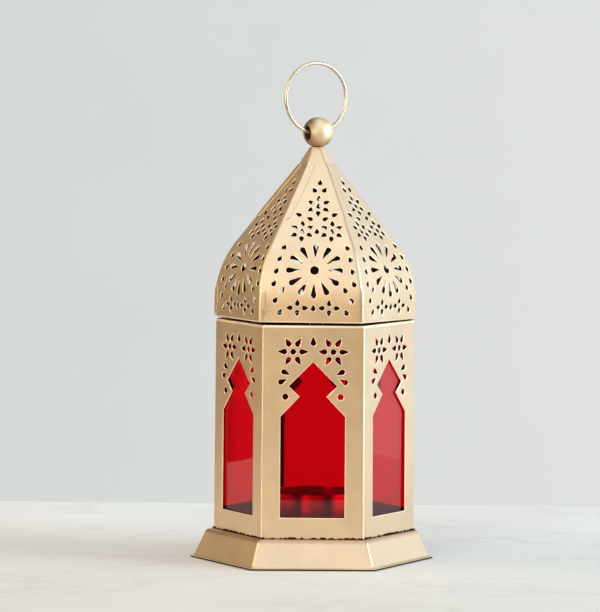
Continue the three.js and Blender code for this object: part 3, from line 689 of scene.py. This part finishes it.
def dome_gore(left_fold, right_fold):
    bm = flat_pattern()
    width = lambda s: station(dome_path, s)[0] * HALF_TAN
    rows = [hem_bends + HEM_BEND * QUARTER * i / 4 for i in range(5)]
    levels = {t * MM for tab in TABS for t, _ in tab} | {RIM_UP}
    steps = round(arc / MM / 1.4)
    levels |= {RIM_UP + arc * i / steps for i in range(1, steps + 1)}
    levels |= {RIM_UP + arc + straight * i / 12 for i in range(1, 13)}
    rows += sorted(s for s in levels if s > hem_upright + 0.05 * MM)
    right = [(width(s) - right_fold, s) for s in rows]
    hem = [(width(hem_start) - 0.2 * MM, hem_start), (width(hem_bends) - 0.2 * MM, hem_bends - 0.01 * MM)]
    left = [(-width(s) + left_fold + 0.04 * MM, s) for s in reversed(rows)]
    ring = [(-u, s) for u, s in hem[::-1]] + hem + right + left
    verts = add_ring(bm, [Vector(p) for p in ring], 0)
    chain, start = set(verts[4:4 + len(rows)]), set(verts[4 + len(rows):])
    for hole in gore_holes():
        add_ring(bm, on_gore(hole), RIM_OUT + HOLE_GROW)
    fill(bm)
    edges, flush = fold_edge(bm, chain, right_fold)
    lap = [e for e in edges if all(tab_width(round(v.co.y / MM, 4)) for v in e.verts)]
    lap = [e for e in lap if abs(e.verts[0].co.y - e.verts[1].co.y) < 12 * MM]
    made = bmesh.ops.extrude_edge_only(bm, edges=lap)["geom"]
    tongue = [g for g in made if isinstance(g, bmesh.types.BMVert)]
    for v in tongue:
        v.co.x = width(v.co.y) + tab_width(round(v.co.y / MM, 4)) * MM
    flush = {v for v in flush if v.is_boundary and tab_width(round(v.co.y / MM, 4)) is None}
    add_walls(bm, plain=start | flush, gold_walls=tongue, painted_as=0)
    cut_rows(bm, rows)
    bend_sheet(bm, dome_path, right_fold, tab_lift)
    # Painted shade on the faces that face down; a painted highlight on the outer part of the hem's bend.
    shaded_faces = lambda f: f.normal.z < -0.7
    painted_highlight = lambda f: f.calc_center_median().z < DOME_RIM + HEM_BEND and -0.7 < f.normal.z < -0.12
    return sheet_mesh(bm, "dome gore", [dome_gold, edge_gold_and_highlight, inside_shade], shaded_faces, painted_highlight)


gore = dome_gore(RIDGE, RIDGE)
special = {"front": dome_gore(TIGHT_RIDGE, RIDGE), "front_left": dome_gore(RIDGE, TIGHT_RIDGE)}
for i, name in enumerate(SIDES):
    add_piece(
        "gore_" + name, special.get(name, gore), "dome_lid", "gold_dome_sheet", "dome_gore_" + name,
        turn=i * TURN, settle=ASKEW)
print("dome gore:", len(gore.polygons), "faces")

# %% [markdown]
# ## The base skirt and its seam
# A round piece is a profile spun about the axis. A hexagonal one is spun in 48 steps and pressed into a hexagon, eight
# steps to a side, and its corners keep a small rounding, because folded sheet never has a knife edge. A thin
# near-black bead that wanders up and down lies in the seam between the panels and the ledge: it is painted shade,
# standing for the dark gap there. The underside of the foot's lip has the same near-black, a painted shadow line
# along the table.
# %% Base skirt
def profile_bm(points):
    """A line of points (distance from the axis, height) as edges."""
    bm = bmesh.new()
    first = bm.verts.new((points[0][0], 0, points[0][1]))
    last = first
    for r, z in points[1:]:
        new = bm.verts.new((r, 0, z))
        bm.edges.new((last, new))
        last = new
    return bm


def spin_round(bm, steps):
    bmesh.ops.spin(
        bm, geom=bm.verts[:] + bm.edges[:], cent=(0, 0, 0), axis=(0, 0, 1), dvec=(0, 0, 0), angle=2 * math.pi,
        steps=steps, use_merge=True, use_normal_flip=False, use_duplicate=False)
    bmesh.ops.remove_doubles(bm, verts=bm.verts[:], dist=WELD)
    bmesh.ops.recalc_face_normals(bm, faces=bm.faces[:])


def smooth_mesh(bm, name, materials, angle=35):
    bmesh.ops.recalc_face_normals(bm, faces=bm.faces[:])
    for f in bm.faces:
        f.smooth = True
    for e in bm.edges:
        e.smooth = e.calc_face_angle(0) < math.radians(angle)
    return store(bm, name, materials)


def press_hexagon(bm, fillet):
    """Presses a spin of eight steps to a side into a hexagon. A point's distance from the axis becomes its distance
    from the axis at the middle of a side, and the corners are rounded over the fillet."""
    for v in bm.verts:
        flat = math.hypot(v.co.x, v.co.y)
        way = math.degrees(math.atan2(v.co.y, v.co.x))
        corner_way = round(way / 60) * 60
        off = (way - corner_way) / 7.5
        corner = Vector((1, 0)) * flat / math.cos(TURN / 2)
        side = Vector((-0.5, math.copysign(math.sin(TURN), off)))
        half = flat * HALF_TAN
        if abs(off) <= 2:
            share = (abs(off) + 2) / 4
            start, end = corner + Vector((side.x, -side.y)) * fillet, corner + side * fillet
            point = start.lerp(corner, share).lerp(corner.lerp(end, share), share)
        else:
            point = corner + side * (fillet + (half - fillet) * (abs(off) - 2) / 2)
        v.co.xy = Matrix.Rotation(math.radians(corner_way), 2) @ point


def base_skirt():
    brow, foot, low, high, inside, brow_radius, lip_width = 40.15, 46.26, 0.65, 13.0, 32.971, 2.2, 1.7
    line = [(inside, high)]
    for i in range(7):
        way = math.radians(90 - 10 * i)
        line.append((brow + brow_radius * math.cos(way), high - brow_radius * (1 - math.sin(way))))
    start = Vector(line[-1])
    control = Vector((start.x + 0.50 * (foot - start.x), 0.55 * start.y))
    end = Vector((foot - 0.35, low + 1.6))
    for i in range(1, 9):
        t = i / 8
        point = start.lerp(control, t).lerp(control.lerp(end, t), t)
        line.append((point.x, point.y))
    heel, tip = Vector((foot + 0.1, low)), Vector((foot + lip_width, low))
    for i in range(1, 6):
        t = i / 5
        point = end.lerp(heel, t).lerp(heel.lerp(tip, t), t)
        line.append((point.x, point.y))
    under = [(foot + lip_width, 0.55), (foot + 1.64, 0.52), (foot + 1.50, 0.0), (foot - 0.3, 0.0)]
    inner = [(r - 0.8, z - 0.35) for r, z in reversed(line[1:-4])]
    loop = line + under + inner + [(inside, high - 0.8)]
    bm = profile_bm([(r * MM, z * MM) for r, z in loop + loop[:1]])
    bmesh.ops.remove_doubles(bm, verts=bm.verts[:], dist=WELD)
    spin_round(bm, 48)
    press_hexagon(bm, 0.9 * MM)
    # The underside of the foot's lip is painted near black: a painted shadow line along the table.
    for f in bm.faces:
        centre = f.calc_center_median()
        f.material_index = 1 if centre.z < 0.54 * MM and centre.xy.length > foot * MM else 0
    return smooth_mesh(bm, "base skirt", [base_gold, seam_and_foot_shade])


def seam_shade():
    """A thin near-black bead, painted shade for the gap, that wanders up and down in the seam between the panels and
    the ledge.
    """
    bm = bmesh.new()
    made = bmesh.ops.create_circle(bm, cap_ends=False, radius=1.0, segments=6 * 90)
    for v in made["verts"]:
        way = math.atan2(v.co.y, v.co.x)
        off = (way + math.radians(90)) % TURN
        reach = (BODY_FLAT + FOOT_SPREAD + 0.05 * MM) / math.cos(min(off, TURN - off))
        v.co = (reach * math.cos(way), reach * math.sin(way), 13.0 * MM)
    upper = bmesh.ops.extrude_edge_only(bm, edges=bm.edges[:])["geom"]
    for g in upper:
        if isinstance(g, bmesh.types.BMVert):
            wander = mathutils.noise.noise(g.co * 1100) + 0.6 * mathutils.noise.noise(g.co * 70)
            g.co.z += min(0.9, max(0.05, 0.50 + 1.4 * wander)) * MM
    walls = bm.faces[:]
    bmesh.ops.recalc_face_normals(bm, faces=walls)
    bmesh.ops.solidify(bm, geom=walls, thickness=-0.25 * MM)
    return smooth_mesh(bm, "seam shade", [seam_and_foot_shade])


skirt = base_skirt()
add_piece(
    "base_skirt_piece", skirt, "lantern_body", "gold_base_sheet", "base_skirt",
    settle=Matrix.Translation((-0.9 * MM, 0, 0)) @ Matrix.Rotation(math.radians(1.7), 4, "Z"))
add_piece("seam_shade_bead", seam_shade(), "lantern_body", "gold_base_sheet")
print("base skirt:", len(skirt.polygons), "faces")

# %% [markdown]
# ## Glass panes
# A pane is a cut piece of 2 mm glass, with the size of its CAD node. Its edges are ground a little, so they catch
# light as thin lines.
# %% Panes
GROUND_EDGE = 0.25 * MM


def glass_pane():
    bm = bmesh.new()
    bmesh.ops.create_grid(bm, x_segments=1, y_segments=1, size=0.5)
    low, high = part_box("red_pane_front")
    bmesh.ops.scale(bm, verts=bm.verts[:], vec=(high.x - low.x, high.z - low.z, 1))
    bmesh.ops.rotate(bm, verts=bm.verts[:], cent=(0, 0, 0), matrix=Matrix.Rotation(QUARTER, 3, "X"))
    bmesh.ops.translate(bm, verts=bm.verts[:], vec=(0, low.y, (low.z + high.z) / 2))
    made = bmesh.ops.extrude_face_region(bm, geom=bm.faces[:])["geom"]
    moved = [g for g in made if isinstance(g, bmesh.types.BMVert)]
    bmesh.ops.translate(bm, verts=moved, vec=(0, high.y - low.y, 0))
    bmesh.ops.recalc_face_normals(bm, faces=bm.faces[:])
    bmesh.ops.bevel(
        bm, geom=bm.edges[:], offset=GROUND_EDGE, offset_type="OFFSET", segments=1, profile=0.5, affect="EDGES",
        material=-1)
    return smooth_mesh(bm, "red pane", [red_glass], angle=10)


pane = glass_pane()
for i, name in enumerate(SIDES):
    add_piece("pane_" + name, pane, "lantern_body", "red_glass", "red_pane_" + name, turn=i * TURN)

# %% [markdown]
# ## Cup, finial and ring
# The cup is pressed from thin bright metal with a rolled rim. The ball is turned, with a cross bore, so it is a
# profile spun about the bore's own axis. The bore's mouths are countersunk, which leaves room for the wire when the
# ring lies down. The cap is spun and pressed like the skirt. The ring is a round wire: a circle spun about the ring's
# middle. Ball and ring sit a little askew.
# %% Cup, ball, cap and ring
BALL_Z, BALL_RADIUS, BORE_RADIUS, BORE_TURN = 193.1 * MM, 6.9 * MM, 3.15 * MM, math.radians(31)
BALL_MIDDLE = Vector((0, 0, BALL_Z))
MOUTH = 0.80 * MM
BALL_SEAT = (
    Matrix.Translation((0.45 * MM, 0, 0)) @ ASKEW @ Matrix.Translation(BALL_MIDDLE)
    @ Matrix.Rotation(math.radians(-4), 4, "Y") @ Matrix.Rotation(math.radians(3), 4, "Z")
    @ Matrix.Translation(-BALL_MIDDLE))
RING_SEAT = Matrix.Translation((-0.25 * MM, 0, 0)) @ Matrix.Rotation(math.radians(1), 4, "Z")


def candle_cup():
    floor, wall, turn, thick = 14.4, 20.25, 1.2, 0.5
    rim = floor + 16.2
    line = [(0.0, floor)]
    for i in range(5):
        way = math.radians(-90 + 22.5 * i)
        line.append((wall - turn + turn * math.cos(way), floor + turn + turn * math.sin(way)))
    line += [(wall, rim - 0.5), (wall - 0.07, rim - 0.15), (wall - 0.25, rim), (wall - 0.43, rim - 0.15)]
    line += [(wall - 0.5, rim - 0.5)]
    for i in range(5):
        way = math.radians(22.5 * -i)
        line.append((wall - turn + (turn - thick) * math.cos(way), floor + turn + (turn - thick) * math.sin(way)))
    line.append((0.0, floor + thick))
    bm = profile_bm([(r * MM, z * MM) for r, z in line])
    spin_round(bm, 72)
    return smooth_mesh(bm, "candle cup", [cup_metal])


def finial_ball():
    """The profile runs over the ball from one bore mouth to the other and back through the bore."""
    start = math.asin(BORE_RADIUS / BALL_RADIUS)
    steps = 28
    line = []
    for i in range(steps + 1):
        way = start + (math.pi - 2 * start) * i / steps
        line.append((BALL_RADIUS * math.sin(way), BALL_RADIUS * math.cos(way)))
    first, last = line[0], line[-1]
    line = [(BORE_RADIUS, first[1] - MOUTH)] + line[1:-1] + [(BORE_RADIUS, last[1] + MOUTH)]
    deep, wide = [round(abs(b - a) / MM, 2) for a, b in zip(line[0], line[1])][::-1]
    print("bore mouth, mm: countersunk", deep, "deep and", wide, "wide")
    bm = profile_bm(line + line[:1])
    bmesh.ops.remove_doubles(bm, verts=bm.verts[:], dist=WELD)
    spin_round(bm, 48)
    # The bore is painted near black as shade.
    for f in bm.faces:
        centre = f.calc_center_median()
        f.material_index = 1 if math.hypot(centre.x, centre.y) < BORE_RADIUS + 0.01 * MM else 0
    lay = Matrix.Rotation(BORE_TURN, 3, "Z") @ Matrix.Rotation(QUARTER, 3, "Y")
    bmesh.ops.rotate(bm, verts=bm.verts[:], cent=(0, 0, 0), matrix=lay)
    bmesh.ops.translate(bm, verts=bm.verts[:], vec=(0, 0, BALL_Z))
    return smooth_mesh(bm, "finial ball", [ball_gold, inside_shade])


def ring_handle():
    radius, wire = 15.75 * MM, 0.8 * MM
    bm = bmesh.new()
    bmesh.ops.create_circle(bm, cap_ends=False, radius=wire, segments=16)
    bmesh.ops.rotate(bm, verts=bm.verts[:], cent=(0, 0, 0), matrix=Matrix.Rotation(QUARTER, 3, "X"))
    bmesh.ops.translate(bm, verts=bm.verts[:], vec=(radius, 0, 0))
    spin_round(bm, 96)
    lay = Matrix.Rotation(BORE_TURN, 3, "Z") @ Matrix.Rotation(QUARTER, 3, "X")
    bmesh.ops.rotate(bm, verts=bm.verts[:], cent=(0, 0, 0), matrix=lay)
    bmesh.ops.translate(bm, verts=bm.verts[:], vec=(0, 0, BALL_Z + radius))
    return smooth_mesh(bm, "ring handle", [wire_gold])


def finial_cap():
    low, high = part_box("finial_cap")
    slope, thick = math.tan(LEAN), 0.1 * MM
    top = TOP_OPENING - 2.2 * MM * slope + 0.95 * MM
    bottom = TOP_OPENING + 4.9 * MM * slope + 0.16 * MM
    line = [(top, high.z), (bottom, low.z), (bottom - thick, low.z), (top - thick, high.z)]
    bm = profile_bm(line + line[:1])
    bmesh.ops.remove_doubles(bm, verts=bm.verts[:], dist=WELD)
    spin_round(bm, 48)
    press_hexagon(bm, 0.8 * MM)
    return smooth_mesh(bm, "finial cap", [dome_gold])


add_piece("cup", candle_cup(), "lantern_body", "cup_metal", "candle_cup")
add_piece("ball", finial_ball(), "dome_lid", "gold_ball", "finial_ball", settle=BALL_SEAT)
add_piece("cap", finial_cap(), "dome_lid", "gold_dome_sheet", "finial_cap", settle=ASKEW)
add_piece("ring", ring_handle(), "ring", "gold_wire", "ring_handle", settle=RING_SEAT)

# %% [markdown]
# ## Pieces that keep their CAD shape
# The floor plate, the stud and the hinge have the right shape already, so they only get a finish.
# %% CAD nodes
for name, material in [("floor_plate", base_gold), ("finial_stud", hinge_metal), ("hinge_leaf_lower", hinge_metal),
                       ("hinge_leaf_upper", hinge_metal), ("hinge_pin", hinge_metal)]:
    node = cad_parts[name]
    node.data.materials.clear()
    node.data.materials.append(material)

# %% [markdown]
# ## Table and wall
# The lantern stands on a white table in front of a pale wall. The wall is the world's own colour for the camera, for
# what is seen through glass and for reflections of what is straight behind the lantern; it is painted darker on the
# left than on the right, as painted shade. For everything else the world is a dim room, so the lamps do the lighting.
# To the camera the table has a painted glow that grows towards the wall, and its colour is painted darker towards
# the front as painted shade.
# %% Table and wall
TABLE_BACK, TABLE_FRONT, TABLE_PAINTED_GLOW = 0.21, -0.305, 0.10
WALL_LEFT, WALL_RIGHT = (0.67, 0.695, 0.68), (0.765, 0.785, 0.78)
ROOM = (0.03, 0.03, 0.03)


def table_top():
    bm = bmesh.new()
    bmesh.ops.create_grid(bm, x_segments=1, y_segments=1, size=1)
    bmesh.ops.scale(bm, verts=bm.verts[:], vec=(1.2, (TABLE_BACK - TABLE_FRONT) / 2, 1))
    bmesh.ops.translate(bm, verts=bm.verts[:], vec=(0, (TABLE_BACK + TABLE_FRONT) / 2, -0.0002))
    material, tree, shader = new_finish("table white", (0.80, 0.80, 0.785), roughness=0.6)
    along = coordinate(tree, "Y")
    veins = [(0.40, 1.0), (0.485, 0.985), (0.50, 0.90), (0.515, 0.985), (0.62, 0.96)]
    lines = ramp(tree, noise(tree, 7, 6, (1, 1.6, 1)), veins)
    # Painted shade: the table's colour is darker towards the front.
    painted_falloff = ramp(tree, between(tree, along, -0.16, 0.02), [(0, (0.66, 0.66, 0.645)), (1, (0.765, 0.775, 0.77))])
    tree.links.new(mix_colors(tree, painted_falloff, lines, 1.0, "MULTIPLY"), shader.inputs["Base Color"])
    # Painted glow: to the camera the table glows more towards the wall.
    path = tree.nodes.new("ShaderNodeLightPath")
    far = between(tree, along, 0.0, TABLE_BACK, 0.0, TABLE_PAINTED_GLOW)
    tree.links.new(math_node(tree, "MULTIPLY", far, path.outputs["Is Camera Ray"]), shader.inputs["Emission Strength"])
    shader.inputs["Emission Color"].default_value = (1, 1, 1, 1)
    table = add_object("table", store(bm, "table", [material]))


def pale_world():
    world = bpy.data.worlds.new("pale wall")
    bpy.context.scene.world = world
    world.use_nodes = True
    tree = world.node_tree
    seen = tree.nodes["Background"]
    # Painted shade: the wall is darker on the left than on the right.
    across = between(tree, coordinate(tree, "X", "Generated"), -0.08, 0.08)
    wall = ramp(tree, across, [(0, WALL_LEFT), (1, WALL_RIGHT)])
    plaster = ramp(tree, noise(tree, 45, 4, kind="Generated"), [(0.35, 0.985), (0.65, 1.0)])
    tree.links.new(mix_colors(tree, wall, plaster, 1.0, "MULTIPLY"), seen.inputs["Color"])
    room = tree.nodes.new("ShaderNodeBackground")
    room.inputs["Color"].default_value = (*ROOM, 1)
    path = tree.nodes.new("ShaderNodeLightPath")
    behind = between(tree, coordinate(tree, "Y", "Generated"), 0.70, 0.95)
    mirrored = math_node(tree, "MULTIPLY", path.outputs["Is Glossy Ray"], behind)
    straight_on = math_node(tree, "MAXIMUM", path.outputs["Is Camera Ray"], path.outputs["Is Transmission Ray"])
    mix = tree.nodes.new("ShaderNodeMixShader")
    tree.links.new(math_node(tree, "MAXIMUM", straight_on, mirrored), mix.inputs["Fac"])
    tree.links.new(room.outputs[0], mix.inputs[1])
    tree.links.new(seen.outputs[0], mix.inputs[2])
    tree.links.new(mix.outputs[0], tree.nodes["World Output"].inputs["Surface"])


table_top()
pale_world()

# %% [markdown]
# ## Light
# The light is soft: six broad lamps. Two on the right stand for a tall window, and two more give daylight from above
# and from in front. An amber one from the left and a warm low one in front bring out the gold. A lamp's brightness is
# its power over its area, so the helper asks for that brightness.
# %% Lamps
MIDDLE = Vector((0, 0, 0.11))


def soft_light(name, location, size, brightness, color=(1, 1, 1)):
    lamp = bpy.data.lights.new(name, "AREA")
    lamp.shape, lamp.size, lamp.size_y = "RECTANGLE", *size
    lamp.energy, lamp.color = brightness * math.pi * size[0] * size[1], color
    made = add_object(name, lamp)
    made.location = location
    aim = MIDDLE - Vector(location)
    made.rotation_euler = aim.to_track_quat("-Z", "Y").to_euler()
    print(name, "power", round(lamp.energy, 1), "W")


DAYLIGHT, WARM, AMBER = (0.88, 0.96, 1.0), (1.0, 0.80, 0.58), (1.0, 0.765, 0.50)
soft_light("window front part", (1.35, -0.35, 0.50), (1.0, 1.3), 6.3, DAYLIGHT)
soft_light("window back part", (1.25, 0.85, 0.50), (1.2, 1.5), 1.2, DAYLIGHT)
soft_light("top light", (0.10, 0.0, 1.40), (1.2, 1.0), 1.6, DAYLIGHT)
soft_light("front light", (-0.15, -1.05, 1.00), (1.3, 1.4), 1.4, DAYLIGHT)
soft_light("left light", (-1.30, -0.25, 0.80), (1.1, 1.0), 3.3, AMBER)
soft_light("low front light", (-0.75, -1.15, 0.28), (0.8, 0.7), 7.2, WARM)
bpy.context.scene.view_settings.view_transform = "Standard"
